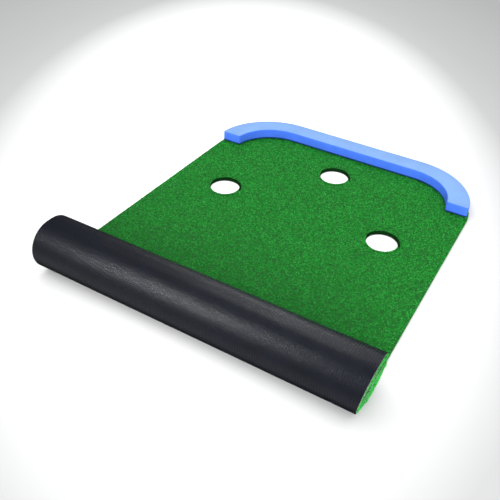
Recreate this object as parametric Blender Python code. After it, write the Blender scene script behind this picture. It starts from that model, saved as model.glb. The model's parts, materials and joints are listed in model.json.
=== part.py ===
"""Practice putting mat: a rubber-backed turf runner, part rolled up, with three cups and a foam bumper.

Metres, +Z up. The mat lies on z = 0 with its roll at -Y and its cups at +Y. The origin is under the middle
of the whole object. Every layer of the mat is cut across the outermost front half-turn into flat strips,
the links that the sheet unrolls by. Each hangs on an empty whose X axis is the line it bends about.
"""

from math import atan2, ceil, cos, pi, radians, sin

import bmesh
import bpy
from mathutils import Vector

# The sheet.
MAT_WIDTH = 1.000
FLAT_LENGTH = 1.150  # from the middle of the roll to the far end
CORNER_RADIUS = 0.245  # the two far corners
BACKING_THICKNESS = 0.0025
SCRIM_THICKNESS = 0.0006
PILE_HEIGHT = 0.0063
BOND_GAP = 0.0003  # between one layer and the next
SCRIM_INSET = 0.002  # the woven cloth stops short of the cut edge

# The cups, which are plain holes through the sheet.
CUP_DIAMETER = 0.108
SIDE_CUP_SPACING = 0.600
SIDE_CUP_SETBACK = 0.518  # from the far end
MIDDLE_CUP_SETBACK = 0.232

# The roll.
ROLL_RADIUS = 0.0765  # outside, over the backing
ROLL_SAG = 0.016  # how much longer the roll is than high
WRAP_CLEARANCE = 0.0004  # between one turn and the next
EYE_RADIUS = 0.008  # the least room left in its middle
STATION_STEP = radians(15)

# The front half-turn, which is made of flat strips.
STRIP_COUNT = 8
BEND_ANGLE = pi / (STRIP_COUNT + 1)
STRIP_CLEARANCE = 0.0003  # between one strip and the next, where they meet

# The bumper, a foam block bent round the far end.
BUMPER_WIDTH = 0.076
BUMPER_HEIGHT = 0.0375
BUMPER_INSET = 0.005  # from the mat's edge
BUMPER_ARM_SETBACK = 0.226  # from the far end to the ends of its arms
BUMPER_END_RADIUS = 0.007  # the upright corners of its arms' ends
BUMPER_EDGE_RADIUS = 0.0015
BUMPER_FILM_THICKNESS = 0.0004
HOOK_THICKNESS = 0.0012
HOOK_WIDTH = 0.025
HOOK_LENGTH = 0.120
HOOK_ARM_INSET = 0.030  # from the end of an arm to its hook tape
SEAT_GAP = 0.0003  # between pieces that rest on each other
ARC_STEP = radians(6)
CORNER_STEPS = 4
SAME_PLACE = 1e-5  # two stations closer than this are one

MAT_THICKNESS = BACKING_THICKNESS + SCRIM_THICKNESS + PILE_HEIGHT + 2 * BOND_GAP
PITCH = MAT_THICKNESS + WRAP_CLEARANCE  # how far in each full turn lies
HALF_TURNS = int((ROLL_RADIUS - MAT_THICKNESS - EYE_RADIUS) / (PITCH / 2))  # behind the front strips
VERTEX_RADIUS = ROLL_RADIUS / cos(BEND_ANGLE / 2)  # of the strips' outline
ROLL_FRONT = -ROLL_SAG / 2 - max(
    VERTEX_RADIUS * sin((j + 0.5) * BEND_ANGLE) for j in range(STRIP_COUNT + 1)
)
ORIGIN_Y = (FLAT_LENGTH + ROLL_FRONT) / 2  # the origin, seen from the middle of the roll

# Each layer's outer and inner face, as a depth below the backing's own face.
LAYERS = {
    "backing": (0.0, BACKING_THICKNESS),
    "scrim": (
        BACKING_THICKNESS + BOND_GAP,
        BACKING_THICKNESS + BOND_GAP + SCRIM_THICKNESS,
    ),
    "turf": (MAT_THICKNESS - PILE_HEIGHT, MAT_THICKNESS),
}

# Base colour, roughness and metallic value of each finish.
FINISHES = {
    "backing": ((0.016, 0.018, 0.023), 0.45, 0.0),
    "scrim": ((0.55, 0.60, 0.55), 0.90, 0.0),
    "turf": ((0.018, 0.200, 0.030), 0.85, 0.0),
    "bumper_foam": ((0.050, 0.180, 0.900), 0.60, 0.0),
    "bumper_top_film": ((0.300, 0.560, 0.980), 0.50, 0.0),
    "hook_strip": ((0.020, 0.020, 0.022), 0.80, 0.0),
}


def clear_scene():
    for obj in list(bpy.data.objects):
        bpy.data.objects.remove(obj, do_unlink=True)


def finish(name):
    """The material of this finish, made once."""
    material = bpy.data.materials.get(name)
    if material:
        return material
    color, roughness, metallic = FINISHES[name]
    material = bpy.data.materials.new(name)
    material.use_nodes = True
    shader = material.node_tree.nodes["Principled BSDF"]
    shader.inputs["Base Color"].default_value = (*color, 1.0)
    shader.inputs["Roughness"].default_value = roughness
    shader.inputs["Metallic"].default_value = metallic
    return material


def in_frame(y, z):
    """A point across the roll, seen from under its middle, as Y and Z from the origin."""
    return y - ORIGIN_Y, z


def extruded(name, outline, depth, finish_name, parent=None, at=(0, 0, 0)):
    """A named solid: a closed outline pushed along the vector depth, with its origin at the point at."""
    mesh = bpy.data.meshes.new(name)
    shape = bmesh.new()
    start = Vector(at)
    face = shape.faces.new([shape.verts.new(Vector(p) - start) for p in outline])
    pushed = bmesh.ops.extrude_face_region(shape, geom=[face])["geom"]
    moved = [v for v in pushed if isinstance(v, bmesh.types.BMVert)]
    bmesh.ops.translate(shape, verts=moved, vec=Vector(depth))
    bmesh.ops.recalc_face_normals(shape, faces=shape.faces)
    shape.to_mesh(mesh)
    shape.free()
    return placed(name, mesh, finish_name, parent, at)


def placed(name, mesh, finish_name, parent, at):
    """The mesh as a named object at a point, under an empty where it has one."""
    obj = bpy.data.objects.new(name, mesh)
    bpy.context.scene.collection.objects.link(obj)
    mesh.materials.append(finish(finish_name))
    obj.location = at
    if parent:
        obj.parent = parent
        obj.location = Vector(at) - world_place(parent)
    return obj


def world_place(empty):
    """An empty's place, added up along the empties that it hangs on."""
    place = Vector(empty.location)
    while empty.parent:
        empty = empty.parent
        place += Vector(empty.location)
    return place


def empty_at(name, at, parent=None):
    empty = bpy.data.objects.new(name, None)
    bpy.context.scene.collection.objects.link(empty)
    empty.location = Vector(at) - (world_place(parent) if parent else Vector())
    empty.parent = parent
    return empty


# The mat's outline and its cups.


def far_arc(inset, step=ARC_STEP):
    """The mat's far end from the +X side round to the -X side, this far inside its edge, as X and Y."""
    radius = CORNER_RADIUS - inset
    centre_x = MAT_WIDTH / 2 - CORNER_RADIUS
    centre_y = FLAT_LENGTH - CORNER_RADIUS
    count = ceil(pi / 2 / step)
    right = [
        (centre_x + radius * cos(i * pi / 2 / count), centre_y + radius * sin(i * pi / 2 / count))
        for i in range(count + 1)
    ]
    return right + [(-x, y) for x, y in reversed(right)]


def cup_places():
    """The cups' centres, as X and Y from the middle of the roll."""
    side_y = FLAT_LENGTH - SIDE_CUP_SETBACK
    return [
        (-SIDE_CUP_SPACING / 2, side_y),
        (0.0, FLAT_LENGTH - MIDDLE_CUP_SETBACK),
        (SIDE_CUP_SPACING / 2, side_y),
    ]


def cup_cutter(name, x, y):
    """A hidden cylinder, longer than the sheet is thick."""
    bpy.ops.mesh.primitive_cylinder_add(
        vertices=64,
        radius=CUP_DIAMETER / 2,
        depth=4 * MAT_THICKNESS,
        location=(x, *in_frame(y, MAT_THICKNESS / 2)),
    )
    cutter = bpy.context.object
    cutter.name = name
    cutter.hide_render = True
    cutter.display_type = "WIRE"
    return cutter


def flat_layer(layer, cutters):
    """The stretch that lies on the floor, from the first bend to the rounded far end, with its cups cut."""
    low, high = LAYERS[layer]
    inset = SCRIM_INSET if layer == "scrim" else 0.0
    half = MAT_WIDTH / 2 - inset
    near_low, near_high = (bend_point(1, depth)[0] + STRIP_CLEARANCE / 2 for depth in (low, high))
    outline = [(half, *in_frame(near_low, low))]
    outline += [(x, *in_frame(y, low)) for x, y in far_arc(inset)]
    outline.append((-half, *in_frame(near_low, low)))
    sheet = extruded(f"{layer}_flat", outline, (0, 0, high - low), layer)
    for vertex in sheet.data.vertices:
        if vertex.co.z > (low + high) / 2 and vertex.co.y < in_frame(0, high)[0]:
            vertex.co.y = in_frame(near_high, high)[0]
    for number, cutter in enumerate(cutters, 1):
        cut = sheet.modifiers.new(f"cup_{number}", "BOOLEAN")
        cut.object = cutter
    return sheet


# The roll. A half-turn is an arc about one of two centres: even ones at the front, odd ones at the back.


def direction(angle):
    """The unit vector out from a centre of the roll, as Y and Z: 0 is down, a quarter turn is forwards."""
    return -sin(angle), -cos(angle)


def wrap_point(half_turn, angle, depth):
    """A point on this half-turn, this far below the backing's face: Y and Z from under the roll's middle."""
    front = half_turn % 2 == 0
    centre_y = -ROLL_SAG / 2 if front else ROLL_SAG / 2
    centre_z = ROLL_RADIUS if front else ROLL_RADIUS + PITCH / 2
    radius = ROLL_RADIUS - half_turn * PITCH / 2 - depth
    y, z = direction(angle)
    return centre_y + radius * y, centre_z + radius * z


def bend_point(number, depth):
    """Bend line number's point at this depth, where two strips meet in a mitre."""
    y, z = direction((number - 0.5) * BEND_ANGLE)
    reach = (ROLL_RADIUS - depth) / cos(BEND_ANGLE / 2)
    return -ROLL_SAG / 2 + reach * y, ROLL_RADIUS + reach * z


def along_strip(number, amount):
    """A step of this length along a strip, towards the roll, as Y and Z."""
    angle = number * BEND_ANGLE
    return -cos(angle) * amount, sin(angle) * amount


def bend_strip(layer, number, hinge):
    """One flat link of one layer, from bend line number to the next, mitred at both."""
    low, high = LAYERS[layer]
    half = MAT_WIDTH / 2 - (SCRIM_INSET if layer == "scrim" else 0.0)
    step_y, step_z = along_strip(number, STRIP_CLEARANCE / 2)
    corners = []
    for line, depth, way in (
        (number, low, 1),
        (number + 1, low, -1),
        (number + 1, high, -1),
        (number, high, 1),
    ):
        y, z = bend_point(line, depth)
        corners.append((-half, *in_frame(y + way * step_y, z + way * step_z)))
    name = f"{layer}_bend_{number}"
    return extruded(name, corners, (2 * half, 0, 0), layer, hinge, world_place(hinge))


def spiral_layer(layer, hinge):
    """The rest of the layer, wound from the last bend to the eye of the roll."""
    low, high = LAYERS[layer]
    half = MAT_WIDTH / 2 - (SCRIM_INSET if layer == "scrim" else 0.0)
    start_y, start_z = along_strip(STRIP_COUNT + 1, STRIP_CLEARANCE / 2)
    ends = [bend_point(STRIP_COUNT + 1, depth) for depth in (low, high)]
    stations = [[(y + start_y, z + start_z) for y, z in ends]]
    steps = round(pi / STATION_STEP)
    for half_turn in range(1, HALF_TURNS + 1):
        for step in range(steps + 1):
            angle = (half_turn + step / steps) * pi
            station = [wrap_point(half_turn, angle, depth) for depth in (low, high)]
            (y, z), (last_y, last_z) = station[0], stations[-1][0]
            if abs(y - last_y) + abs(z - last_z) > SAME_PLACE:
                stations.append(station)
    mesh = bpy.data.meshes.new(f"{layer}_roll")
    shape = bmesh.new()
    place = world_place(hinge)
    rows = []
    for outer, inner in stations:
        corners = [(-half, *in_frame(*outer)), (-half, *in_frame(*inner))]
        corners += [(half, *in_frame(*inner)), (half, *in_frame(*outer))]
        rows.append([shape.verts.new(Vector(c) - place) for c in corners])
    for row, after in zip(rows, rows[1:]):
        for i in range(4):
            j = (i + 1) % 4
            shape.faces.new((row[i], row[j], after[j], after[i]))
    shape.faces.new(rows[0])
    shape.faces.new(reversed(rows[-1]))
    bmesh.ops.recalc_face_normals(shape, faces=shape.faces)
    shape.to_mesh(mesh)
    shape.free()
    roll = placed(f"{layer}_roll", mesh, layer, hinge, place)
    mesh.shade_smooth()
    mesh.set_sharp_from_angle(angle=radians(40))
    return roll


# The bumper.


def bumper_outline(inset):
    """The bumper seen from above, this far inside its own edge, as X and Y from the middle of the roll."""
    end_y = FLAT_LENGTH - BUMPER_ARM_SETBACK + inset
    radius = BUMPER_END_RADIUS - inset
    outer = squared_run(far_arc(BUMPER_INSET + inset), end_y, radius, -1)
    inner = squared_run(far_arc(BUMPER_INSET + BUMPER_WIDTH - inset), end_y, radius, 1)
    return outer + inner[::-1]


def squared_run(run, end_y, radius, inward):
    """The stretch of a run beyond end_y, with a rounded corner where each end meets that line."""
    start_y = end_y + radius
    above = [p for p in run if p[1] > start_y]
    first = run.index(above[0])
    x = crossing(run[first - 1], above[0], start_y) if first else above[0][0]
    turns = [i * pi / 2 / CORNER_STEPS for i in range(CORNER_STEPS, -1, -1)]
    corner = [(x + inward * radius * (1 - cos(a)), start_y - radius * sin(a)) for a in turns]
    return corner + above + [(-x, y) for x, y in reversed(corner)]


def crossing(low, high, y):
    """The X at which the line from low to high reaches this Y."""
    share = (y - low[1]) / (high[1] - low[1])
    return low[0] + share * (high[0] - low[0])


def bumper_layers(lift):
    """The foam block and the film on it, above the height lift."""
    outline = [(x, *in_frame(y, lift)) for x, y in bumper_outline(0.0)]
    foam_height = BUMPER_HEIGHT - BUMPER_FILM_THICKNESS - SEAT_GAP
    foam = extruded("bumper_foam", outline, (0, 0, foam_height), "bumper_foam")
    rounding = foam.modifiers.new("edges", "BEVEL")
    rounding.width = BUMPER_EDGE_RADIUS
    rounding.segments = 2
    rounding.limit_method = "ANGLE"
    rounding.angle_limit = radians(40)
    film_base = lift + foam_height + SEAT_GAP
    outline = [(x, *in_frame(y, film_base)) for x, y in bumper_outline(BUMPER_EDGE_RADIUS)]
    film = extruded("bumper_top_film", outline, (0, 0, BUMPER_FILM_THICKNESS), "bumper_top_film")
    return [foam, film]


def hook_tapes(base):
    """Five lengths of hook tape under the bumper's middle line: three on its straight, two on its arms."""
    middle = CORNER_RADIUS - BUMPER_INSET - BUMPER_WIDTH / 2
    centre_x = MAT_WIDTH / 2 - CORNER_RADIUS
    centre_y = FLAT_LENGTH - CORNER_RADIUS
    arm_height = max(0.0, CORNER_RADIUS - BUMPER_ARM_SETBACK)
    end_angle = atan2(arm_height, middle)
    bend = end_angle + (HOOK_ARM_INSET + HOOK_LENGTH / 2) / middle
    straight = (0.0, centre_x - HOOK_LENGTH / 2)
    places = [(-x, centre_y + middle, 0.0) for x in straight[1:]]
    places += [(x, centre_y + middle, 0.0) for x in straight]
    around = [(centre_x + middle * cos(bend), centre_y + middle * sin(bend), bend - pi / 2)]
    around += [(-x, y, -turn) for x, y, turn in around]
    tapes = []
    for number, (x, y, turn) in enumerate(places + around, 1):
        half_l, half_w = HOOK_LENGTH / 2, HOOK_WIDTH / 2
        outline = [(-half_l, -half_w, 0), (half_l, -half_w, 0), (half_l, half_w, 0), (-half_l, half_w, 0)]
        tape = extruded(f"hook_strip_{number}", outline, (0, 0, HOOK_THICKNESS), "hook_strip")
        tape.location = (x, *in_frame(y, base))
        tape.rotation_euler.z = turn
        tapes.append(tape)
    return tapes


def build():
    clear_scene()
    cutters = [cup_cutter(f"cup_cutter_{i}", *place) for i, place in enumerate(cup_places(), 1)]
    for layer in LAYERS:
        flat_layer(layer, cutters)
    hinge = None
    for number in range(1, STRIP_COUNT + 2):
        hinge = empty_at(f"bend_line_{number}", (0, *in_frame(*bend_point(number, 0.0))), hinge)
        for layer in LAYERS:
            if number <= STRIP_COUNT:
                bend_strip(layer, number, hinge)
            else:
                spiral_layer(layer, hinge)
    tape_base = MAT_THICKNESS + SEAT_GAP
    foam_base = tape_base + HOOK_THICKNESS + SEAT_GAP
    bumper_place = empty_at("bumper_lift", (0, *in_frame(FLAT_LENGTH, tape_base)))
    for piece in bumper_layers(foam_base) + hook_tapes(tape_base):
        piece.parent = bumper_place
        piece.location = Vector(piece.location) - world_place(bumper_place)


build()
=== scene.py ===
"""Dresses a practice putting mat: a rubber-backed turf runner, part rolled up, with a foam bumper.

Metres, +Z up. The sheet is one spiral: it lies flat, climbs the front of the roll and winds inwards. The
stretch that unrolls is nine short wraps.
"""

import json
import math

import bmesh
import bpy
import numpy as np
from mathutils import Matrix, Vector


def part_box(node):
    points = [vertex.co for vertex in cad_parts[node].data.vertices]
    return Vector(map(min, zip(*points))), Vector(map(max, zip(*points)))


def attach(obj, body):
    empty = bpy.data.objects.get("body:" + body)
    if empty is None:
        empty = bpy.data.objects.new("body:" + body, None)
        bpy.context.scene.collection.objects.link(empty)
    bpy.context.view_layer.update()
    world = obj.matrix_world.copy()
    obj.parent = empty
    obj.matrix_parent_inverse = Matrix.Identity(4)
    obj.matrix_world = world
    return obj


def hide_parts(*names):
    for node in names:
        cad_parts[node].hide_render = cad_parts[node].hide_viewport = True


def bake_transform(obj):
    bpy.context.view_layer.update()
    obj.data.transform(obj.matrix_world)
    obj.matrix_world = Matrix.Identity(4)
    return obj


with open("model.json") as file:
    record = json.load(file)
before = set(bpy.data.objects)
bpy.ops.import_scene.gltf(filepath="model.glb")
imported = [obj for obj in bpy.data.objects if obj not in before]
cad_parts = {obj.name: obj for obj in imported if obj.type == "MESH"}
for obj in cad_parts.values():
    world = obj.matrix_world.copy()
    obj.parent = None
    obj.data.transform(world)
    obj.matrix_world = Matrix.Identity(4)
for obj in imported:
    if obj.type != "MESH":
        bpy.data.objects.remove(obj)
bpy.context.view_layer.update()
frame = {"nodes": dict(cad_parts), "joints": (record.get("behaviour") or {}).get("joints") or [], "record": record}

bl_info = {
    "name": "Putting Mat",
    "version": (1, 0, 0),
    "blender": (4, 5, 0),
    "location": "3D View > Sidebar > Putting Mat",
    "description": "Makes a part-rolled practice putting mat with its turf, rubber, cups and foam bumper",
    "category": "Object",
}

# The sheet's own measures, read from the frame.
BEND_LINES = [Vector(j["pos_m"]) for j in frame["joints"] if j["type"] == "hinge"]
WRAP_COUNT = len(BEND_LINES)
WRAP_ANGLE = math.pi / WRAP_COUNT
ROLL_RADIUS = BEND_LINES[-1].z / 2
FRONT_Y = BEND_LINES[0].y + ROLL_RADIUS * math.tan(WRAP_ANGLE / 2)
HALF_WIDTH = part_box("backing_flat")[1].x
FAR_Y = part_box("backing_flat")[1].y
RUBBER = (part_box("backing_flat")[0].z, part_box("backing_flat")[1].z)
SCRIM = (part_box("scrim_flat")[0].z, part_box("scrim_flat")[1].z)
TURF = (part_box("turf_flat")[0].z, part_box("turf_flat")[1].z)
WRAP_CLEARANCE = 0.0004
PITCH = TURF[1] + WRAP_CLEARANCE
BACK_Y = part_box("backing_roll")[1].y - (ROLL_RADIUS - PITCH / 2)
HALF_TURNS = 11
CORNER_RADIUS = 0.245
CUP_RADIUS = 0.054
CUP_EDGE = 0.0036  # how wide the matted edge round a cup is
CUP_CURL = 0.0036  # how much higher its far side stands than its near side
CUP_LIP = 0.0008  # how far that edge reaches over the hole
CUP_FOOT = 0.0014  # how much further its foot reaches in
CUPS = [
    tuple((low + high) / 2 for low, high in zip(*opening["box_m"]))[:2]
    for opening in frame["record"]["physics"]["openings"]
    if opening["name"].startswith("cup")
]

# The bumper's.
FOAM_LOW, FOAM_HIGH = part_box("bumper_foam")
FILM_LOW, FILM_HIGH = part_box("bumper_top_film")
BUMPER_WIDTH = 0.076
BUMPER_INSET = FAR_Y - FOAM_HIGH.y
FOAM_SHADOW_REACH = 0.0072  # how high the painted shadow at the foam's foot reaches

LINEN_PITCH = 0.0023  # the threads pressed into the rubber
CLOTH_PITCH = 0.0016  # the threads of the scrim
SHEET_MAP = "sheet"  # the UV map that follows the sheet, in metres across and along it

# The pile's.
BLADES = ((10, 1.0), (42, 0.92), (30, 0.80), (20, 0.96), (36, 0.86))  # each one's lean in degrees and length
FLAT_BANDS = 6  # patches of blades across the flat stretch
ROOT_STEP = 0.0008  # from the foot of the turf up to the lowest blades at its cut ends
ROOT_INSET = 0.0008  # from the flat stretch's edge in to the nearest blades
TONE = 0.075  # what lifts the blades' random tones
END_TONE_PAINTED_LIGHT = 0.155  # the same for the blades at the sheet's cut ends, lifted further as painted light on the ends

FLOOR_REACH = 60.0
FLOOR_GAP = 0.0004  # from the floor up to the mat


# Settings.


class SheetSettings(bpy.types.PropertyGroup):
    settle: bpy.props.FloatProperty(
        name="Settle",
        description="How far the wound sheet strays from a true spiral",
        default=0.0007,
        unit="LENGTH",
    )
    drift: bpy.props.FloatProperty(
        name="Drift",
        description="How far the inner turns stray sideways",
        default=0.0022,
        unit="LENGTH",
    )
    telescope: bpy.props.FloatProperty(
        name="Telescope",
        description="How far the inner turns stand out towards +X",
        default=0.006,
        unit="LENGTH",
    )
    lean: bpy.props.FloatProperty(
        name="Lean",
        description="How far the roll's top stands out past its bottom at the +X end",
        default=0.019,
        unit="LENGTH",
    )
    rubber_color: bpy.props.FloatVectorProperty(
        name="Rubber", description="Colour of the backing", subtype="COLOR", default=(0.0032, 0.0042, 0.0086)
    )
    scrim_color: bpy.props.FloatVectorProperty(
        name="Scrim", description="Colour of the woven cloth", subtype="COLOR", default=(0.50, 0.56, 0.50)
    )
    rib_pitch: bpy.props.FloatProperty(
        name="Rib pitch",
        description="Spacing of the ribs pressed into the rubber",
        default=0.0070,
        unit="LENGTH",
    )


class PileSettings(bpy.types.PropertyGroup):
    spacing: bpy.props.FloatProperty(
        name="Spacing", description="Least distance between two stitches", default=0.0039, unit="LENGTH"
    )
    density: bpy.props.FloatProperty(
        name="Density", description="Most stitches on a square metre", default=220000.0
    )
    blade_length: bpy.props.FloatProperty(
        name="Blade length", description="Longest blade above its ground", default=0.0038, unit="LENGTH"
    )
    blade_width: bpy.props.FloatProperty(
        name="Blade width", description="Width of a blade at its root", default=0.0021, unit="LENGTH"
    )
    dark: bpy.props.FloatVectorProperty(
        name="Dark blades",
        description="Colour of the darkest blades",
        subtype="COLOR",
        default=(0.007, 0.130, 0.014),
    )
    middle: bpy.props.FloatVectorProperty(
        name="Blades", description="Colour of most blades", subtype="COLOR", default=(0.026, 0.440, 0.049)
    )
    light: bpy.props.FloatVectorProperty(
        name="Light blades",
        description="Colour of the lightest blades",
        subtype="COLOR",
        default=(0.080, 0.700, 0.120),
    )
    ground: bpy.props.FloatVectorProperty(
        name="Ground", description="Colour between the blades", subtype="COLOR", default=(0.007, 0.100, 0.012)
    )


class BumperSettings(bpy.types.PropertyGroup):
    edge_radius: bpy.props.FloatProperty(
        name="Edge radius", description="Rounding of the foam's edges", default=0.0022, unit="LENGTH"
    )
    end_radius: bpy.props.FloatProperty(
        name="End radius", description="Rounding of the arms' upright corners", default=0.007, unit="LENGTH"
    )
    foam_color: bpy.props.FloatVectorProperty(
        name="Foam", description="Colour of the foam's sides", subtype="COLOR", default=(0.068, 0.192, 0.870)
    )
    # Painted light: this pale colour holds the skin's own blue with a painted white sheen and the light on the
    # bumper's top.
    film_color_with_sheen: bpy.props.FloatVectorProperty(
        name="Top skin",
        description="Colour of the skin on top",
        subtype="COLOR",
        default=(0.162, 0.285, 0.540),
    )


class StageSettings(bpy.types.PropertyGroup):
    heading: bpy.props.FloatProperty(
        name="Heading",
        description="Turn of the camera from +Y",
        default=math.radians(28.874),
        unit="ROTATION",
    )
    pitch: bpy.props.FloatProperty(
        name="Pitch",
        description="Tilt of the camera below level",
        default=math.radians(37.539),
        unit="ROTATION",
    )
    roll: bpy.props.FloatProperty(
        name="Roll",
        description="Turn of the camera about its own axis",
        default=math.radians(2.921),
        unit="ROTATION",
    )
    place: bpy.props.FloatVectorProperty(
        name="Place",
        description="Where the camera stands",
        subtype="TRANSLATION",
        default=(0.731, -1.5607, 1.2264),
    )
    lens: bpy.props.FloatProperty(name="Lens", description="Focal length in millimetres", default=45.87)
    floor_color: bpy.props.FloatVectorProperty(
        name="Floor",
        description="Colour of the floor round the mat",
        subtype="COLOR",
        default=(0.90, 0.90, 0.90),
    )
    # Painted shade: the floor is painted greyer away from the mat, as if the light fell off there.
    floor_painted_shade: bpy.props.FloatVectorProperty(
        name="Floor away",
        description="Colour of the floor far from the mat",
        subtype="COLOR",
        default=(0.29, 0.29, 0.29),
    )
    # The middle and half sizes of the painted pool of light on the floor.
    light_pool_middle: bpy.props.FloatVectorProperty(
        name="Floor middle",
        description="Middle of the pale round of floor",
        subtype="TRANSLATION",
        default=(-0.5, 0.6, 0.0),
    )
    light_pool_round: bpy.props.FloatVectorProperty(
        name="Floor round", description="Half sizes of that round", subtype="XYZ", size=2, default=(1.25, 2.3)
    )


# Meshes.


def placed(name, data):
    """A new object in the scene, at the origin."""
    obj = bpy.data.objects.new(name, data)
    bpy.context.scene.collection.objects.link(obj)
    return obj


def mesh_object(name, vertices, faces, material=None):
    """An object made of points and faces."""
    mesh = bpy.data.meshes.new(name)
    mesh.from_pydata([tuple(map(float, v)) for v in vertices], [], faces)
    if material:
        mesh.materials.append(material)
    return placed(name, mesh)


def shape_object(name, shape):
    """An object made of an edited shape, which is freed."""
    mesh = bpy.data.meshes.new(name)
    shape.to_mesh(mesh)
    shape.free()
    return placed(name, mesh)


def turn_outwards(obj):
    """Turns the faces of a closed mesh to look out of it."""
    shape = bmesh.new()
    shape.from_mesh(obj.data)
    bmesh.ops.recalc_face_normals(shape, faces=shape.faces)
    shape.to_mesh(obj.data)
    shape.free()


def faced(obj, way):
    """The object, with its faces turned over if the first one looks away from this direction."""
    if obj.data.polygons[0].normal.dot(way) < 0:
        obj.data.flip_normals()
    return obj


def smooth(obj, angle=40):
    """Shades the object smooth, with edges sharper than this many degrees kept."""
    obj.data.shade_smooth()
    obj.data.set_sharp_from_angle(angle=math.radians(angle))


def lay_map(mesh, across_along):
    """Stores the sheet's own coordinates, one pair for each vertex, as its UV map."""
    layer = mesh.uv_layers.new(name=SHEET_MAP)
    corners = np.empty(len(mesh.loops), np.int32)
    mesh.loops.foreach_get("vertex_index", corners)
    layer.data.foreach_set("uv", np.asarray(across_along, np.float32)[corners].reshape(-1))


def neighbours(count):
    """Each number below count with the one after it, round to the first."""
    return [(i, (i + 1) % count) for i in range(count)]


def grid_faces(rows, columns, first=0, flip=False):
    """Quads over a grid of points stored row by row."""
    faces = []
    for r in range(rows - 1):
        for c in range(columns - 1):
            a = first + r * columns + c
            quad = (a, a + 1, a + columns + 1, a + columns)
            faces.append(quad[::-1] if flip else quad)
    return faces


# The wound sheet. Angles run from 0 under the roll, up its front, over its top and on inwards.


def wrap_path(number, steps=20):
    """Wrap number 1 to 9: (centre Y, centre Z, radius, angle, length along the sheet) at each station."""
    angles = np.linspace((number - 1) * WRAP_ANGLE, number * WRAP_ANGLE, steps + 1)
    return [(FRONT_Y, ROLL_RADIUS, ROLL_RADIUS, a, -ROLL_RADIUS * a) for a in angles]


def roll_path(step=math.radians(3)):
    """The rest of the sheet, from the top of the first half-turn to the eye."""
    along = -math.pi * ROLL_RADIUS
    path = [(FRONT_Y, ROLL_RADIUS, ROLL_RADIUS, math.pi, along)]
    steps = round(math.pi / step)
    for half_turn in range(1, HALF_TURNS + 1):
        front = half_turn % 2 == 0
        centre_y = FRONT_Y if front else BACK_Y
        centre_z = ROLL_RADIUS + (0 if front else PITCH / 2)
        radius = ROLL_RADIUS - half_turn * PITCH / 2
        along -= BACK_Y - FRONT_Y
        for i in range(steps + 1):
            angle = (half_turn + i / steps) * math.pi
            path.append((centre_y, centre_z, radius, angle, along - radius * i * math.pi / steps))
        along -= radius * math.pi
    return path


def settled(x, angle):
    """How far out the wound sheet lies here: the same for every turn, and nothing where it lies flat."""
    lift = (1 - np.cos(angle)) / 2
    wave = np.sin(6.1 * x + 1.3) * np.sin(2 * angle + 0.7 + 1.4 * x)
    wave = wave + 0.55 * np.sin(13.7 * x + 0.4) * np.sin(3 * angle + 2.1)
    wave = wave + 0.30 * np.sin(29.0 * x + 2.2) * np.sin(5 * angle + 0.5)
    return bpy.context.scene.mat_sheet.settle * lift * wave


def drifted(angle):
    """How far sideways a turn lies. The first half-turn is in line with the flat stretch."""
    settings = bpy.context.scene.mat_sheet
    turned = np.maximum(angle - math.pi, 0)
    share = np.minimum(turned / (5 * math.pi), 1)
    stray = settings.drift * share * np.sin(0.83 * turned) * np.cos(0.31 * turned)
    return stray + settings.telescope * share**2 * (3 - 2 * share)


def wound_points(path, across, depth, half_width=None):
    """Points of the sheet at this depth: a row for each station, a column for each share across it."""
    centre_y, centre_z, radius, angle, _ = (np.array(column)[:, None] for column in zip(*path))
    half_width = HALF_WIDTH if half_width is None else half_width
    x = np.asarray(across)[None, :] * half_width + drifted(angle)
    reach = radius + settled(x, angle) - depth
    y = centre_y - reach * np.sin(angle)
    z = centre_z - reach * np.cos(angle)
    share = (x / HALF_WIDTH + 1) / 2 * z / (2 * ROLL_RADIUS)
    return np.stack([x + bpy.context.scene.mat_sheet.lean * share, y, z], axis=-1)


def wound_slab(name, path, depths, columns, material, inset=0.0):
    """A closed stretch of one layer of the wound sheet."""
    across = np.linspace(-1, 1, columns)
    rows = len(path)
    half_width = HALF_WIDTH - inset
    outer, inner = (wound_points(path, across, depth, half_width).reshape(-1, 3) for depth in depths)
    half = rows * columns
    faces = grid_faces(rows, columns) + grid_faces(rows, columns, half, flip=True)
    for column in (0, columns - 1):
        for r in range(rows - 1):
            a, b = r * columns + column, (r + 1) * columns + column
            faces.append((a, b, b + half, a + half) if column == 0 else (b, a, a + half, b + half))
    for row in (0, rows - 1):
        for c in range(columns - 1):
            a = row * columns + c
            quad = (a, a + half, a + half + 1, a + 1)
            faces.append(quad if row == 0 else quad[::-1])
    obj = mesh_object(name, np.concatenate([outer, inner]), faces, material)
    along = np.repeat([station[4] for station in path], columns)
    layout = np.stack([outer[:, 0], along], axis=-1)
    turn_outwards(obj)
    lay_map(obj.data, np.concatenate([layout, layout + (0.0, depths[1] - depths[0])]))
    smooth(obj)
    return obj


# The flat sheet.


def far_outline(inset, step=math.radians(3)):
    """The sheet's round far end, from its +X side to its -X side, this far inside its edge."""
    radius = CORNER_RADIUS - inset
    centre_x, centre_y = HALF_WIDTH - CORNER_RADIUS, FAR_Y - CORNER_RADIUS
    steps = round(math.pi / 2 / step)
    turns = [i * math.pi / 2 / steps for i in range(steps + 1)]
    right = [(centre_x + radius * math.cos(a), centre_y + radius * math.sin(a)) for a in turns]
    return right + [(-x, y) for x, y in reversed(right)]


def sheet_outline(inset):
    """The flat stretch's outline, starting under the roll."""
    half = HALF_WIDTH - inset
    return [(half, FRONT_Y)] + far_outline(inset) + [(-half, FRONT_Y)]


def circle(x, y, radius, sides=72):
    """Points round a circle, counterclockwise."""
    return [
        (x + radius * math.cos(i * 2 * math.pi / sides), y + radius * math.sin(i * 2 * math.pi / sides))
        for i in range(sides)
    ]


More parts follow.
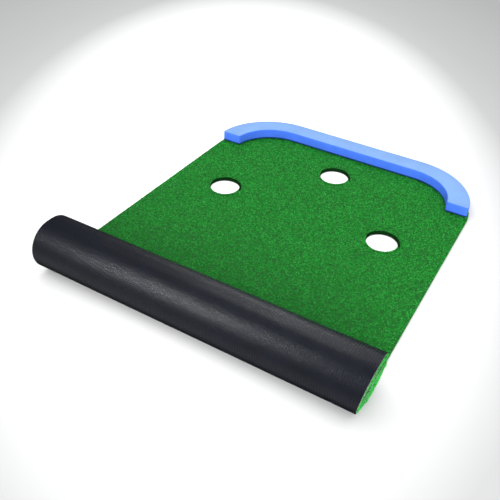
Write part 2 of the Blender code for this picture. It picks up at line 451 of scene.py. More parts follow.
def cut_sheet(shape, height, inset, cup_radius):
    """Fills the flat sheet's outline, with its cups left open, at a height."""
    edges = []
    for loop in [sheet_outline(inset)] + [circle(x, y, cup_radius) for x, y in CUPS]:
        verts = [shape.verts.new((x, y, height)) for x, y in loop]
        edges += [shape.edges.new((a, b)) for a, b in zip(verts, verts[1:] + verts[:1])]
    bmesh.ops.triangle_fill(shape, edges=edges, use_beauty=True, use_dissolve=False)
    for face in shape.faces:
        if face.normal.z < 0:
            face.normal_flip()


def flat_slab(name, depths, material, inset=0.0, cup_radius=CUP_RADIUS, cut_shade_material=None):
    """One layer of the flat stretch, with its cups cut through and its cut sides in their own material; the turf's
    is the near-black painted-shade one.
    """
    shape = bmesh.new()
    cut_sheet(shape, depths[0], inset, cup_radius)
    pushed = bmesh.ops.extrude_face_region(shape, geom=list(shape.faces))["geom"]
    raised = [v for v in pushed if isinstance(v, bmesh.types.BMVert)]
    bmesh.ops.translate(shape, verts=raised, vec=(0, 0, depths[1] - depths[0]))
    bmesh.ops.recalc_face_normals(shape, faces=shape.faces)
    obj = shape_object(name, shape)
    mesh = obj.data
    mesh.materials.append(material)
    if cut_shade_material:
        mesh.materials.append(cut_shade_material)
        for face in mesh.polygons:
            face.material_index = int(abs(face.normal.z) < 0.5)
    lay_map(mesh, [(v.co.x, v.co.y - FRONT_Y + v.co.z - depths[0]) for v in mesh.vertices])
    smooth(obj)
    return obj


# Materials.


def tint(color, share):
    """A lighter or darker tone of a colour."""
    return tuple(min(1.0, c * share) for c in color)


def made_once(name):
    """Lets a function make the material of this name only if there is none yet."""

    def decorated(make):
        return lambda *settings: bpy.data.materials.get(name) or make(name, *settings)

    return decorated


def material_of(name, color, roughness):
    """A new material and its shader."""
    material = bpy.data.materials.new(name)
    material.use_nodes = True
    shader = material.node_tree.nodes["Principled BSDF"]
    shader.inputs["Base Color"].default_value = (*color, 1.0)
    shader.inputs["Roughness"].default_value = roughness
    return material, shader


def add(tree, kind, **values):
    """A new node with these values on its inputs, or on itself where it has no such input."""
    node = tree.nodes.new(kind)
    for name, value in values.items():
        label = name.replace("_", " ")
        found = [s for s in node.inputs if s.name.lower() == label and s.enabled]
        if found:
            found[0].default_value = value
        else:
            setattr(node, name, value)
    return node


def join(tree, source, target):
    tree.links.new(source, target)


def ramp(tree, value, stops):
    """A colour ramp over a value: stops are (position, colour)."""
    node = tree.nodes.new("ShaderNodeValToRGB")
    points = node.color_ramp.elements
    while len(points) < len(stops):
        points.new(0.5)
    for point, (position, color) in zip(points, stops):
        point.position = position
        point.color = (*color, 1.0)
    join(tree, value, node.inputs["Fac"])
    return node.outputs["Color"]


def bump(tree, shader, height, strength, distance):
    """Presses a height pattern into a shader's surface, this many metres deep."""
    node = add(tree, "ShaderNodeBump", strength=strength, distance=distance)
    join(tree, height, node.inputs["Height"])
    join(tree, node.outputs["Normal"], shader.inputs["Normal"])


def sheet_place(tree):
    """The sheet's own coordinates, in metres."""
    node = tree.nodes.new("ShaderNodeUVMap")
    node.uv_map = SHEET_MAP
    return node.outputs["UV"]


def own_place(tree):
    """The object's own coordinates, in metres."""
    return tree.nodes.new("ShaderNodeTexCoord").outputs["Object"]


def noise(tree, place, scale, detail=3.0, roughness=0.6):
    node = add(tree, "ShaderNodeTexNoise", scale=scale, detail=detail, roughness=roughness)
    join(tree, place, node.inputs["Vector"])
    return node.outputs["Fac"]


def ribs(tree, place, pitch, direction):
    """Even ridges this far apart, across one direction of a place."""
    node = add(tree, "ShaderNodeTexWave", scale=math.pi / 10 / pitch, bands_direction=direction)
    join(tree, place, node.inputs["Vector"])
    return node.outputs["Fac"]


def multiplied(tree, color, shade):
    """A colour darkened by another one, or by a value."""
    node = add(tree, "ShaderNodeMix", data_type="RGBA", blend_type="MULTIPLY")
    node.inputs["Factor"].default_value = 1.0
    join(tree, color, node.inputs[6])
    join(tree, shade, node.inputs[7])
    return node.outputs[2]


def calc(tree, operation, *values):
    """Values and numbers put together."""
    node = add(tree, "ShaderNodeMath", operation=operation)
    for socket, value in zip(node.inputs, values):
        if isinstance(value, (int, float)):
            socket.default_value = value
        else:
            join(tree, value, socket)
    return node.outputs["Value"]


@made_once("pressed_rubber")
def rubber_material(name, settings):
    """Black rubber with a fine woven grain pressed into it, scuffed a little smoother in patches."""
    material, shader = material_of(name, settings.rubber_color, 0.5)
    tree = material.node_tree
    place = sheet_place(tree)
    broken = calc(tree, "MULTIPLY_ADD", ribs(tree, place, settings.rib_pitch * 0.8, "Y"), 0.45, 0.55)
    weave = calc(tree, "MULTIPLY", ribs(tree, place, settings.rib_pitch, "X"), broken)
    threads = calc(tree, "MULTIPLY", ribs(tree, place, LINEN_PITCH, "X"), ribs(tree, place, LINEN_PITCH, "Y"))
    grain = noise(tree, place, 210.0, 3.0, 0.7)
    fine = calc(tree, "ADD", calc(tree, "MULTIPLY", threads, 0.6), calc(tree, "MULTIPLY", grain, 3.0))
    height = calc(tree, "ADD", calc(tree, "MULTIPLY", weave, 0.8), fine)
    bump(tree, shader, height, 0.8, 0.00032)
    tones = [(0.30, tint(settings.rubber_color, 0.80)), (0.70, tint(settings.rubber_color, 1.25))]
    color = ramp(tree, noise(tree, place, 9.0, 4.0), tones)
    join(tree, color, shader.inputs["Base Color"])
    scuffs = calc(tree, "ADD", noise(tree, place, 170.0, 4.0, 0.8), calc(tree, "MULTIPLY", weave, -0.20))
    dull = ramp(tree, scuffs, [(0.30, (0.28, 0.28, 0.28)), (0.48, (0.60, 0.60, 0.60))])
    join(tree, dull, shader.inputs["Roughness"])
    shader.inputs["Specular IOR Level"].default_value = 0.5
    return material


@made_once("woven_scrim")
def scrim_material(name, settings):
    """Thin pale cloth in a plain weave."""
    material, shader = material_of(name, settings.scrim_color, 0.9)
    tree = material.node_tree
    place = sheet_place(tree)
    weave = calc(tree, "MULTIPLY", ribs(tree, place, CLOTH_PITCH, "X"), ribs(tree, place, CLOTH_PITCH, "Y"))
    color = ramp(tree, weave, [(0.0, tint(settings.scrim_color, 0.6)), (0.7, settings.scrim_color)])
    join(tree, color, shader.inputs["Base Color"])
    bump(tree, shader, weave, 0.6, 0.0003)
    return material


@made_once("pile_roots")
def ground_material(name, settings):
    """The dense roots of the pile, with upright streaks where the sheet is cut."""
    material, shader = material_of(name, settings.ground, 0.95)
    tree = material.node_tree
    place = own_place(tree)
    streaks = add(tree, "ShaderNodeMapping")
    streaks.inputs["Scale"].default_value = (1.0, 1.0, 0.12)
    join(tree, place, streaks.inputs["Vector"])
    tufts = noise(tree, streaks.outputs["Vector"], 900.0, 3.0, 0.7)
    tones = [(0.32, tint(settings.ground, 0.35)), (0.55, settings.ground), (0.75, settings.dark)]
    color = ramp(tree, tufts, tones)
    join(tree, color, shader.inputs["Base Color"])
    bump(tree, shader, tufts, 0.8, 0.0008)
    return material


@made_once("pile_cut")
def cut_shade_material(name, settings):
    """The pile's roots seen from the side, where the sheet is cut, in painted shade: almost black, with a few
    green strands.
    """
    # Painted shade: the roots' side is drawn at 0.12 of the ground colour, as if in shadow.
    shadow = tint(settings.ground, 0.12)
    material, shader = material_of(name, shadow, 0.95)
    tree = material.node_tree
    strands = noise(tree, own_place(tree), 1100.0, 2.0, 0.7)
    color = ramp(tree, strands, [(0.50, shadow), (0.80, tint(settings.ground, 0.8))])
    join(tree, color, shader.inputs["Base Color"])
    bump(tree, shader, strands, 0.8, 0.0008)
    shader.inputs["Specular IOR Level"].default_value = 0.1
    return material


@made_once("grass_fibre")
def pile_material(name, settings):
    """Curled synthetic fibre: each stitch has its own tone, and every blade has painted shade towards its root,
    where the pile shades it.
    """
    material, shader = material_of(name, settings.middle, 0.62)
    tree = material.node_tree
    tone = add(tree, "ShaderNodeAttribute", attribute_name="tone").outputs["Fac"]
    rise = add(tree, "ShaderNodeAttribute", attribute_name="rise").outputs["Fac"]
    tones = [(0.20, settings.dark), (0.44, settings.middle), (0.58, settings.middle), (0.80, settings.light)]
    # Painted shade: each blade is drawn down to 0.45 of its colour at its root.
    shade = calc(tree, "MULTIPLY_ADD", rise, 0.55, 0.45)
    join(tree, multiplied(tree, ramp(tree, tone, tones), shade), shader.inputs["Base Color"])
    shader.inputs["Specular IOR Level"].default_value = 0.08
    return material


@made_once("blue_foam")
def foam_material(name, settings):
    """Closed-cell foam: a fine pitted skin, a little uneven in colour, with a painted shadow at its foot, where it
    stands in the pile.
    """
    material, shader = material_of(name, settings.foam_color, 0.62)
    tree = material.node_tree
    place = own_place(tree)
    cells = add(tree, "ShaderNodeTexVoronoi", scale=1300.0)
    join(tree, place, cells.inputs["Vector"])
    pits = cells.outputs["Distance"]
    cloud = noise(tree, place, 26.0, 4.0)
    mottle = calc(tree, "ADD", calc(tree, "MULTIPLY", pits, 0.35), calc(tree, "MULTIPLY", cloud, 0.75))
    tones = [(0.30, tint(settings.foam_color, 0.86)), (0.75, tint(settings.foam_color, 1.10))]
    # Painted shadow: the foam is drawn darker towards its foot, where it stands in the pile.
    level = tree.nodes.new("ShaderNodeSeparateXYZ")
    join(tree, place, level.inputs["Vector"])
    foot = calc(tree, "MULTIPLY", calc(tree, "SUBTRACT", level.outputs["Z"], FOAM_LOW.z), 1 / FOAM_SHADOW_REACH)
    shadow = ramp(tree, foot, [(0.45, (0.14, 0.15, 0.20)), (1.0, (1.0, 1.0, 1.0))])
    color = multiplied(tree, ramp(tree, mottle, tones), shadow)
    join(tree, color, shader.inputs["Base Color"])
    bump(tree, shader, calc(tree, "ADD", pits, calc(tree, "MULTIPLY", cloud, 0.8)), 0.35, 0.0006)
    shader.inputs["Specular IOR Level"].default_value = 0.15
    return material


@made_once("pale_top_skin")
def film_material(name, settings):
    """The smooth skin on the bumper's top: its pale colour is partly its own and partly a painted sheen and
    painted light on the top.
    """
    material, shader = material_of(name, settings.film_color_with_sheen, 0.7)
    tree = material.node_tree
    place = own_place(tree)
    grain = noise(tree, place, 700.0, 2.0)
    cloud = noise(tree, place, 14.0, 3.0)
    tones = [(0.30, tint(settings.film_color_with_sheen, 0.93)), (0.70, tint(settings.film_color_with_sheen, 1.04))]
    color = ramp(tree, cloud, tones)
    join(tree, color, shader.inputs["Base Color"])
    bump(tree, shader, calc(tree, "ADD", grain, calc(tree, "MULTIPLY", cloud, 2.0)), 0.20, 0.0005)
    shader.inputs["Specular IOR Level"].default_value = 0.05
    return material


@made_once("hook_nylon")
def hook_material(name):
    """Black nylon tape."""
    material, shader = material_of(name, (0.020, 0.020, 0.022), 0.5)
    tree = material.node_tree
    weave = noise(tree, own_place(tree), 900.0, 2.0)
    color = ramp(tree, weave, [(0.3, (0.012, 0.012, 0.014)), (0.7, (0.040, 0.040, 0.044))])
    join(tree, color, shader.inputs["Base Color"])
    bump(tree, shader, weave, 0.4, 0.0003)
    return material


# The pile, which Geometry Nodes stand on a ground.


def tuft(settings):
    """One stitch: closed blades that lean apart from one root, with how high up its blade each point is."""
    shape = bmesh.new()
    rise = shape.verts.layers.float.new("rise")
    for number, (lean, share) in enumerate(BLADES):
        turn = 2 * math.pi * number / len(BLADES)
        lean = math.radians(lean)
        length = settings.blade_length * share
        root = Vector((math.cos(turn), math.sin(turn), 0.0)) * settings.blade_width * 0.6
        ahead = Vector((math.sin(lean) * math.cos(turn), math.sin(lean) * math.sin(turn), math.cos(lean)))
        feet = []
        for corner in range(3):
            angle = turn + 2 * math.pi * corner / 3
            offset = Vector((math.cos(angle), math.sin(angle), 0.0)) * settings.blade_width * 0.5
            foot = shape.verts.new(root + offset)
            foot[rise] = 0.0
            feet.append(foot)
        top = shape.verts.new(root + ahead * length)
        top[rise] = 1.0
        for i, j in neighbours(3):
            shape.faces.new((feet[i], feet[j], top))
        shape.faces.new(feet[::-1])
    mesh = bpy.data.meshes.new("stitch")
    shape.to_mesh(mesh)
    shape.free()
    return bpy.data.objects.new("stitch", mesh)


def fed(tree, kind, sources, **values):
    """A new node with these values, and with sources joined to its inputs by their names or numbers."""
    node = add(tree, kind, **values)
    for socket, source in sources.items():
        join(tree, source, node.inputs[socket])
    return node


def pile_tree():
    """Stands tufts on a ground: spread evenly, turned, tilted and sized at random, each with its tone."""
    name = "pile"
    if name in bpy.data.node_groups:
        return bpy.data.node_groups[name]
    tree = bpy.data.node_groups.new(name, "GeometryNodeTree")
    for socket, kind in (
        ("Ground", "Geometry"),
        ("Tuft", "Object"),
        ("Spacing", "Float"),
        ("Density", "Float"),
        ("Tilt", "Vector"),
        ("Untilt", "Vector"),
        ("Smallest", "Float"),
        ("Largest", "Float"),
        ("Tone", "Float"),
        ("Seed", "Int"),
        ("Material", "Material"),
    ):
        tree.interface.new_socket(socket, in_out="INPUT", socket_type=f"NodeSocket{kind}")
    tree.interface.new_socket("Pile", in_out="OUTPUT", socket_type="NodeSocketGeometry")
    given = tree.nodes.new("NodeGroupInput").outputs
    seed = given["Seed"]
    spread = fed(
        tree,
        "GeometryNodeDistributePointsOnFaces",
        {
            "Mesh": given["Ground"],
            "Distance Min": given["Spacing"],
            "Density Max": given["Density"],
            "Seed": seed,
        },
        distribute_method="POISSON",
    ).outputs
    turns = fed(
        tree,
        "FunctionNodeRandomValue",
        {"Min": given["Untilt"], "Max": given["Tilt"], "Seed": seed},
        data_type="FLOAT_VECTOR",
    )
    spin = fed(tree, "FunctionNodeEulerToRotation", {"Euler": turns.outputs["Value"]})
    stand = fed(
        tree,
        "FunctionNodeRotateRotation",
        {"Rotation": spread["Rotation"], "Rotate By": spin.outputs["Rotation"]},
        rotation_space="LOCAL",
    )
    sizes = fed(
        tree,
        "FunctionNodeRandomValue",
        {2: given["Smallest"], 3: given["Largest"], "Seed": seed},
        data_type="FLOAT",
    )
    pattern = fed(tree, "GeometryNodeObjectInfo", {"Object": given["Tuft"]})
    copies = fed(
        tree,
        "GeometryNodeInstanceOnPoints",
        {
            "Points": spread["Points"],
            "Instance": pattern.outputs["Geometry"],
            "Rotation": stand.outputs["Rotation"],
            "Scale": sizes.outputs[1],
        },
    )
    chance = fed(tree, "FunctionNodeRandomValue", {"Seed": seed}, data_type="FLOAT")
    place = tree.nodes.new("GeometryNodeInputPosition").outputs["Position"]
    patch = calc(tree, "MULTIPLY", noise(tree, place, 300.0, 2.0, 0.5), 0.35)
    shift = calc(tree, "ADD", patch, given["Tone"])
    tone = calc(tree, "MULTIPLY_ADD", chance.outputs[1], 0.50, shift)
    stored = fed(
        tree,
        "GeometryNodeStoreNamedAttribute",
        {"Geometry": copies.outputs["Instances"], "Value": tone},
        data_type="FLOAT",
        domain="INSTANCE",
    )
    stored.inputs["Name"].default_value = "tone"
    real = fed(tree, "GeometryNodeRealizeInstances", {"Geometry": stored.outputs["Geometry"]})
    dressed = fed(
        tree,
        "GeometryNodeSetMaterial",
        {"Geometry": real.outputs["Geometry"], "Material": given["Material"]},
    )
    fed(tree, "NodeGroupOutput", {"Pile": dressed.outputs["Geometry"]})
    return tree


def grown(ground, settings, seed, spacing=1.0, size=(0.72, 1.0), tilt=24.0, tone=TONE, material=None):
    """The ground object, turned into the pile that stands on it."""
    pattern = tuft(settings)
    modifier = ground.modifiers.new("pile", "NODES")
    modifier.node_group = pile_tree()
    lean = math.radians(tilt)
    given = {
        "Tuft": pattern,
        "Spacing": settings.spacing * spacing,
        "Density": settings.density / spacing**2,
        "Tilt": (lean, lean, 2 * math.pi),
        "Untilt": (-lean, -lean, 0.0),
        "Smallest": size[0],
        "Largest": size[1],
        "Tone": tone,
        "Seed": seed,
        "Material": material or pile_material(settings),
    }
    for item in modifier.node_group.interface.items_tree:
        if item.in_out == "INPUT" and item.name in given:
            modifier[item.identifier] = given[item.name]
    ready = ground.evaluated_get(bpy.context.evaluated_depsgraph_get())
    mesh = bpy.data.meshes.new_from_object(ready)
    mesh.name = ground.name
    ground.modifiers.remove(modifier)
    bare = ground.data
    ground.data = mesh
    bpy.data.meshes.remove(bare)
    bpy.data.objects.remove(pattern)
    return ground


def joined(parts):
    """Several objects made one, named as the first."""
    chosen = {"active_object": parts[0], "selected_editable_objects": parts, "selected_objects": parts}
    with bpy.context.temp_override(**chosen):
        bpy.ops.object.join()
    return parts[0]


def ground_depth(settings):
    """Where the blades stand: their tips end at the sheet's full thickness."""
    return TURF[1] - settings.blade_length


def flat_ground(name, settings, low_y, high_y):
    """The flat stretch's ground between two lines across it."""
    shape = bmesh.new()
    cut_sheet(shape, ground_depth(settings), ROOT_INSET, CUP_RADIUS + CUP_EDGE)
    for y, outward in ((low_y, -1), (high_y, 1)):
        bmesh.ops.bisect_plane(
            shape,
            geom=list(shape.verts) + list(shape.edges) + list(shape.faces),
            plane_co=(0, y, 0),
            plane_no=(0, outward, 0),
            clear_outer=True,
        )
    return shape_object(name, shape)


def rim_ground(name, line, low, high):
    """An upright band along a line of points that runs counterclockwise round material, facing out of it."""
    points = [(x, y, z) for z in (low, high) for x, y in line]
    return mesh_object(name, points, grid_faces(2, len(line)))


def cup_edge(name, settings, place, seed):
    """The matted edge round a cup: a wall in painted shade that stands proud, most where the nap leans off it,
    with the blades on its far half in painted shade too.
    """
    top, low = TURF[1], TURF[0] - 0.0002
    inner, outer = CUP_RADIUS - CUP_LIP, CUP_RADIUS + CUP_EDGE - 0.0001
    # The wall's foot, its lip, the crest, where the crest comes down on the turf, and the foot under that.
    loops = [circle(*place, reach) for reach in (inner - CUP_FOOT, inner, inner + CUP_LIP, outer, outer)]
    count = len(loops[0])
    points = []
    for ring, loop in enumerate(loops):
        for x, y in loop:
            curl = 0.0004 + CUP_CURL * (1 + (y - place[1]) / CUP_RADIUS) / 2
            points.append((x, y, (low, top + curl, top + curl + 0.0004, top - 0.0018, low)[ring]))
    rings = [
        [(r * count + i, r * count + j, n * count + j, n * count + i) for i, j in neighbours(count)]
        for r, n in neighbours(len(loops))
    ]
    # Painted shade: every band but the crest's outer slope takes the near-black cut material.
    edge = mesh_object(name, points, sum(rings, []), cut_shade_material(settings))
    edge.data.materials.append(ground_material(settings))
    for face in edge.data.polygons[2 * count : 3 * count]:
        face.material_index = 1
    turn_outwards(edge)
    smooth(edge)
    half = count // 2
    # Painted shade: the blades on the far half take the near-black cut material, as if in the hole's shadow.
    crest = [quad[::-1] for quad in rings[2]]
    shaded = mesh_object("far_blades", points, crest[:half])
    grown(shaded, settings, seed, 0.6, (0.45, 0.8), 20.0, material=cut_shade_material(settings))
    lit = grown(mesh_object("near_blades", points, crest[half:]), settings, seed, 0.6, (0.6, 0.9), 20.0)
    return joined([edge, shaded, lit])


def wound_ground(name, path, depth, columns=13):
    """The wound sheet's ground, facing the middle of the roll."""
    points = wound_points(path, np.linspace(-1, 1, columns) * 0.999, depth)
    obj = mesh_object(name, points.reshape(-1, 3), grid_faces(len(path), columns))
    return faced(obj, Vector((0, *path[0][:2])) - obj.data.polygons[0].center)


def end_ground(name, path, low, high, side):
    """The cut end of the wound turf on one side, facing along the roll."""
    rims = [wound_points(path, [side], depth)[:, 0] for depth in (low, high)]
    return faced(mesh_object(name, np.concatenate(rims), grid_faces(2, len(path))), Vector((side, 0, 0)))


# The bumper.


def bumper_outline(inset, end_radius):
    """The bumper seen from above, this far inside its edge, with rounded corners at its two ends."""
    end_y = FOAM_LOW.y + inset
    radius = end_radius - inset
    outer = squared_run(far_outline(BUMPER_INSET + inset), end_y, radius, -1)
    inner = squared_run(far_outline(BUMPER_INSET + BUMPER_WIDTH - inset), end_y, radius, 1)
    return outer + inner[::-1]


def squared_run(run, end_y, radius, inward, steps=6):
    """The stretch of a run beyond end_y, with a rounded corner where each end meets that line."""
    start_y = end_y + radius
    above = [p for p in run if p[1] > start_y]
    first = run.index(above[0])
    low, high = run[first - 1], above[0]
    x = low[0] + (start_y - low[1]) / (high[1] - low[1]) * (high[0] - low[0])
    turns = [i * math.pi / 2 / steps for i in range(steps, -1, -1)]
    corner = [(x + inward * radius * (1 - math.cos(a)), start_y - radius * math.sin(a)) for a in turns]
    return corner + above + [(-px, py) for px, py in reversed(corner)]


def lofted(name, levels, material):
    """A closed block through outlines of as many points each. Levels are (outline, height), upwards."""
    count = len(levels[0][0])
    points = [(x, y, height) for outline, height in levels for x, y in outline]
    faces = []
    for level in range(len(levels) - 1):
        a, b = level * count, (level + 1) * count
        faces += [(a + i, a + j, b + j, b + i) for i, j in neighbours(count)]
    half = count // 2
    for base, flip in ((0, True), ((len(levels) - 1) * count, False)):
        for i in range(half - 1):
            quad = (base + i, base + i + 1, base + count - 2 - i, base + count - 1 - i)
            faces.append(quad[::-1] if flip else quad)
    obj = mesh_object(name, points, faces, material)
    turn_outwards(obj)
    smooth(obj, 50)
    return obj


def rounded_levels(low, high, radius, end_radius, steps=4):
    """Outlines of the bumper from low to high, drawn in at the bottom and the top edge."""
    turns = [i * math.pi / 2 / steps for i in range(steps + 1)]
    insets = [(radius * (1 - math.sin(a)), radius * (1 - math.cos(a))) for a in turns]
    edge = [(bumper_outline(inset, end_radius), rise) for inset, rise in insets]
    bottom = [(outline, low + rise) for outline, rise in edge]
    return bottom + [(outline, high - rise) for outline, rise in reversed(edge)]


# The stage.


class MAT_OT_stage(bpy.types.Operator):
    """Make the floor, the studio lights and the camera"""

    bl_idname = "mat.stage"
    bl_label = "Stage"

    def execute(self, context):
        settings = context.scene.mat_stage
        corners = [
            (x * FLOOR_REACH, y * FLOOR_REACH, -FLOOR_GAP) for x, y in ((-1, -1), (1, -1), (1, 1), (-1, 1))
        ]
        floor = mesh_object("floor", corners, [(0, 1, 2, 3)], floor_material(settings))
        floor.visible_glossy = False
        make_camera(settings)
        make_lights()
        return {"FINISHED"}


def floor_material(settings):
    """Smooth matt paper with a painted pool of light: pale round the mat and painted greyer away from it."""
    material, shader = material_of("pale_floor", settings.floor_color, 0.85)
    tree = material.node_tree
    light_pool = add(tree, "ShaderNodeMapping", vector_type="TEXTURE")
    light_pool.inputs["Location"].default_value = settings.light_pool_middle
    light_pool.inputs["Rotation"].default_value = (0.0, 0.0, settings.heading)
    light_pool.inputs["Scale"].default_value = (*settings.light_pool_round, 1.0)
    join(tree, own_place(tree), light_pool.inputs["Vector"])
    away = add(tree, "ShaderNodeVectorMath", operation="LENGTH")
    join(tree, light_pool.outputs["Vector"], away.inputs["Vector"])
    # Painted light: a pool of light painted on the floor, fading to painted shade away from its middle.
    middle, edge = Vector(settings.floor_color), Vector(settings.floor_painted_shade)
    stops = [(0.27, 0.0), (0.36, 0.34), (0.42, 0.50), (0.468, 0.67), (0.516, 0.86), (0.60, 0.91), (0.90, 1.0)]
    tones = [(position, middle.lerp(edge, share)) for position, share in stops]
    reach = calc(tree, "MULTIPLY", away.outputs["Value"], 0.6)  # the painted light pool's own rim is at 0.6 of the ramp
    color = ramp(tree, reach, tones)
    join(tree, color, shader.inputs["Base Color"])
    shader.inputs["Specular IOR Level"].default_value = 0.05
    return material


def make_camera(settings):
    """A camera that looks along the heading, tilted down by the pitch and turned about its own axis."""
    heading, pitch, roll = settings.heading, settings.pitch, settings.roll
    level = math.cos(pitch)
    ahead = Vector((-math.sin(heading) * level, math.cos(heading) * level, -math.sin(pitch)))
    right = Vector((math.cos(heading), math.sin(heading), 0.0))
    upward = right.cross(ahead)
    turned_right = right * math.cos(roll) + upward * math.sin(roll)
    turned_up = upward * math.cos(roll) - right * math.sin(roll)
    camera = placed("camera", bpy.data.cameras.new("camera"))
    axes = Matrix((turned_right, turned_up, -ahead)).transposed()
    camera.matrix_world = Matrix.Translation(Vector(settings.place)) @ axes.to_4x4()
    camera.data.sensor_width = 36.0
    camera.data.lens = settings.lens
    bpy.context.scene.camera = camera


def softbox(name, place, aim, size, power, lights):
    """A rectangular softbox facing the aim. It lights only what it is for: "gloss" or "surfaces"."""
    lamp = bpy.data.lights.new(name, "AREA")
    lamp.shape = "RECTANGLE"
    lamp.size, lamp.size_y = size
    lamp.energy = power
    obj = placed(name, lamp)
    obj.location = place
    obj.rotation_euler = (Vector(aim) - Vector(place)).to_track_quat("-Z", "Y").to_euler()
    obj.visible_glossy = lights == "gloss"
    obj.visible_diffuse = lights == "surfaces"
    obj.visible_camera = False


def make_lights():
    """An even room, a broad sky overhead, a fill from the front and softboxes for the streaks on the roll."""
    sky = bpy.data.lights.new("overhead", "SUN")
    sky.energy = 3.4
    sky.angle = math.radians(90)
    overhead = placed("overhead", sky)
    overhead.rotation_euler = (math.radians(4), math.radians(-6), 0.0)
    overhead.visible_glossy = False
    softbox("fill", (1.3, -3.2, 1.4), (0.0, 0.0, 0.1), (3.0, 1.6), 115.0, "surfaces")
    softbox("front_left", (-0.50, -1.34, 0.90), (0.0, -0.58, 0.13), (0.22, 0.12), 12.0, "gloss")
    softbox("low_behind", (-0.66, 1.96, 1.75), (0.25, -0.5, 0.15), (0.25, 0.2), 27.0, "gloss")
    softbox("floor_sheen", (-0.05, -0.75, 0.012), (-0.05, -0.75, 1.0), (1.5, 0.24), 0.5, "gloss")
    world = bpy.data.worlds.new("room")
    world.use_nodes = True
    background = world.node_tree.nodes["Background"]
    background.inputs["Color"].default_value = (0.97, 0.98, 1.0, 1.0)
    background.inputs["Strength"].default_value = 0.6
    world.cycles_visibility.glossy = False
    bpy.context.scene.world = world
    bpy.context.scene.view_settings.view_transform = "Standard"


# The mat's pieces.


class MAT_OT_rubber(bpy.types.Operator):
    """Make the rubber backing: flat stretch, wraps and roll"""

    bl_idname = "mat.rubber"
    bl_label = "Rubber backing"

    def execute(self, context):
        lay_sheet("rubber", "backing", RUBBER, rubber_material(context.scene.mat_sheet), 41)
        return {"FINISHED"}


class MAT_OT_scrim(bpy.types.Operator):
    """Make the woven cloth between the rubber and the turf"""

    bl_idname = "mat.scrim"
    bl_label = "Scrim"

    def execute(self, context):
        cloth = scrim_material(context.scene.mat_sheet)
        pieces = lay_sheet("scrim_cloth", "scrim", SCRIM, cloth, 13, inset=0.002, wound_inset=-0.0006)
        return {"FINISHED"}


class MAT_OT_turf(bpy.types.Operator):
    """Make the turf: the dense roots of its pile as a slab, and the blades that stand on them"""

    bl_idname = "mat.turf"
    bl_label = "Turf"

    def execute(self, context):
        settings = context.scene.mat_pile
        depths = (TURF[0], ground_depth(settings))
        # Painted shade: the turf's cut sides, round the mat and in the cups, take the near-black cut material.
        cut = cut_shade_material(settings)
        pieces = lay_sheet("turf_root", "turf", depths, ground_material(settings), 13, cut=cut)
        blades = stand_pile(settings)
        return {"FINISHED"}


def lay_sheet(name, layer, depths, material, columns, inset=0.0, wound_inset=0.0, cut=None):
    """One layer of the whole sheet: a flat stretch, nine wraps and the roll."""
    cup_radius = CUP_RADIUS + inset + (CUP_EDGE if cut else 0)
    flat = flat_slab(f"{name}_flat", depths, material, inset, cup_radius, cut)
    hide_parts(f"{layer}_flat")
    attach(flat, "mat")
    pieces = {flat: (2 * (HALF_WIDTH - inset), FAR_Y - FRONT_Y)}
    for number in range(1, WRAP_COUNT + 1):
        path = wrap_path(number)
        wrap = wound_slab(f"{name}_wrap_{number}", path, depths, columns, material, wound_inset)
        if number < WRAP_COUNT:
            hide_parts(f"{layer}_bend_{number}")
        bend_between(wrap)
        pieces[wrap] = (2 * (HALF_WIDTH - inset), ROLL_RADIUS * WRAP_ANGLE)
    path = roll_path()
    roll = wound_slab(f"{name}_roll", path, depths, columns, material, wound_inset)
    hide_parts(f"{layer}_roll")
    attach(roll, "roll")
    pieces[roll] = (2 * (HALF_WIDTH - inset), path[0][4] - path[-1][4])
    return pieces


def bend_between(piece):
    """Bakes a wrap's placement into its points."""
    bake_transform(piece)


def stand_pile(settings):
    """Grows every patch of blades. Gives them by the name of the turf that they stand on."""
    depth = ground_depth(settings)
    blades = {"turf_root_flat": [], "turf_root_roll": []}
    on_flat, on_roll = blades.values()
    for band in range(FLAT_BANDS):
        low, high = (FRONT_Y + (FAR_Y - FRONT_Y) * (band + share) / FLAT_BANDS for share in (0, 1))
        low -= 0.001 * (band == 0)  # the two outermost cuts fall clear of the sheet
        high += 0.001 * (band == FLAT_BANDS - 1)
        patch = flat_ground(f"pile_flat_{band + 1}", settings, low, high)
        on_flat.append(grown(patch, settings, 11 + band))
    rim = rim_ground("pile_edge", sheet_outline(0.0003), depth - 0.0022, depth + 0.0002)
    on_flat.append(grown(rim, settings, 31, spacing=0.75, size=(0.4, 0.8)))
    for number, place in enumerate(CUPS, 1):
        on_flat.append(cup_edge(f"pile_cup_{number}", settings, place, 40 + number))
    for patch in on_flat:
        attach(patch, "mat")
    for number in range(1, WRAP_COUNT + 1):
        path = wrap_path(number, 6)
        grounds = [wound_ground(f"pile_wrap_{number}", path, depth)]
        grown(grounds[0], settings, 50 + number, spacing=0.93, size=(0.66, 0.86))
        for side in (-1, 1):
            end = end_ground(f"pile_wrap_end_{side}", path, TURF[0] + ROOT_STEP, depth + 0.0016, side)
            seed = 70 + number + 10 * side
            # Painted light: the blades at the wraps' cut ends take a lighter tone.
            grounds.append(grown(end, settings, seed, spacing=0.7, size=(0.6, 1.2), tone=END_TONE_PAINTED_LIGHT))
        wrap = joined(grounds)
        bend_between(wrap)
        blades[f"turf_root_wrap_{number}"] = [wrap]
    path = roll_path(math.radians(6))
    for side, name in ((-1, "pile_roll_left"), (1, "pile_roll_right")):
        end = end_ground(name, path, TURF[0] + ROOT_STEP, depth + 0.0022, side)
        # Painted light: the blades at the roll's cut ends take a lighter tone.
        grown(end, settings, 90 + side, spacing=0.66, size=(0.7, 1.45), tone=END_TONE_PAINTED_LIGHT)
        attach(end, "roll")
        on_roll.append(end)
    return blades


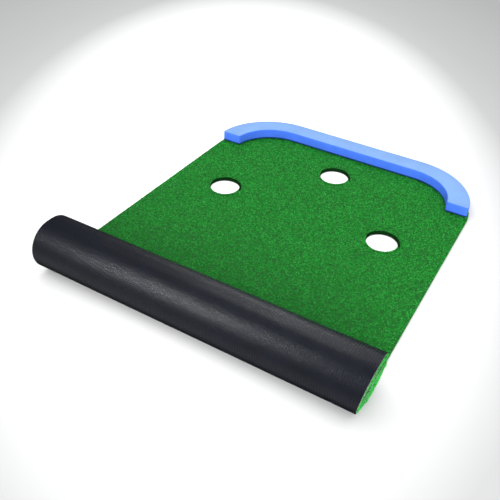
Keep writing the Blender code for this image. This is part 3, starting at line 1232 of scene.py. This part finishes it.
class MAT_OT_foam(bpy.types.Operator):
    """Make the bumper's foam block"""

    bl_idname = "mat.foam"
    bl_label = "Bumper foam"

    def execute(self, context):
        settings = context.scene.mat_bumper
        levels = rounded_levels(FOAM_LOW.z, FOAM_HIGH.z, settings.edge_radius, settings.end_radius)
        foam = lofted("foam_block", levels, foam_material(settings))
        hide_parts("bumper_foam")
        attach(foam, "bumper")
        return {"FINISHED"}


class MAT_OT_film(bpy.types.Operator):
    """Make the skin on the bumper's top, pale with a painted sheen"""

    bl_idname = "mat.film"
    bl_label = "Bumper top skin"

    def execute(self, context):
        settings = context.scene.mat_bumper
        levels = [
            (bumper_outline(settings.edge_radius * 0.75, settings.end_radius), FILM_LOW.z - 0.0001),
            (bumper_outline(settings.edge_radius * 0.80, settings.end_radius), FILM_HIGH.z - 0.0001),
            (bumper_outline(settings.edge_radius * 1.00, settings.end_radius), FILM_HIGH.z),
        ]
        film = lofted("top_skin", levels, film_material(settings))
        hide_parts("bumper_top_film")
        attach(film, "bumper")
        return {"FINISHED"}


class MAT_OT_hooks(bpy.types.Operator):
    """Give the hook tapes under the bumper their finish"""

    bl_idname = "mat.hooks"
    bl_label = "Hook tapes"

    def execute(self, context):
        for name, node in frame["nodes"].items():
            if name.startswith("hook_strip"):
                node.data.materials.clear()
                node.data.materials.append(hook_material())
        return {"FINISHED"}


class MAT_PT_panel(bpy.types.Panel):
    """Lists what the mat is made of"""

    bl_idname = "MAT_PT_panel"
    bl_label = "Putting Mat"
    bl_space_type = "VIEW_3D"
    bl_region_type = "UI"
    bl_category = "Putting Mat"

    def draw(self, context):
        for group in GROUPS:
            box = self.layout.box()
            for name in group[1].__annotations__:
                box.prop(getattr(context.scene, group[0]), name)
        for operator in OPERATORS:
            self.layout.operator(operator.bl_idname)


GROUPS = (
    ("mat_sheet", SheetSettings),
    ("mat_pile", PileSettings),
    ("mat_bumper", BumperSettings),
    ("mat_stage", StageSettings),
)
OPERATORS = (
    MAT_OT_stage,
    MAT_OT_rubber,
    MAT_OT_scrim,
    MAT_OT_turf,
    MAT_OT_foam,
    MAT_OT_film,
    MAT_OT_hooks,
)


def register():
    for name, group in GROUPS:
        bpy.utils.register_class(group)
        setattr(bpy.types.Scene, name, bpy.props.PointerProperty(type=group))
    for item in (*OPERATORS, MAT_PT_panel):
        bpy.utils.register_class(item)


def unregister():
    for item in reversed((*OPERATORS, MAT_PT_panel)):
        bpy.utils.unregister_class(item)
    for name, group in reversed(GROUPS):
        delattr(bpy.types.Scene, name)
        bpy.utils.unregister_class(group)


def main():
    register()
    bpy.ops.mat.stage()
    bpy.ops.mat.rubber()
    bpy.ops.mat.scrim()
    bpy.ops.mat.turf()
    bpy.ops.mat.foam()
    bpy.ops.mat.film()
    bpy.ops.mat.hooks()


if __name__ == "__main__":
    main()
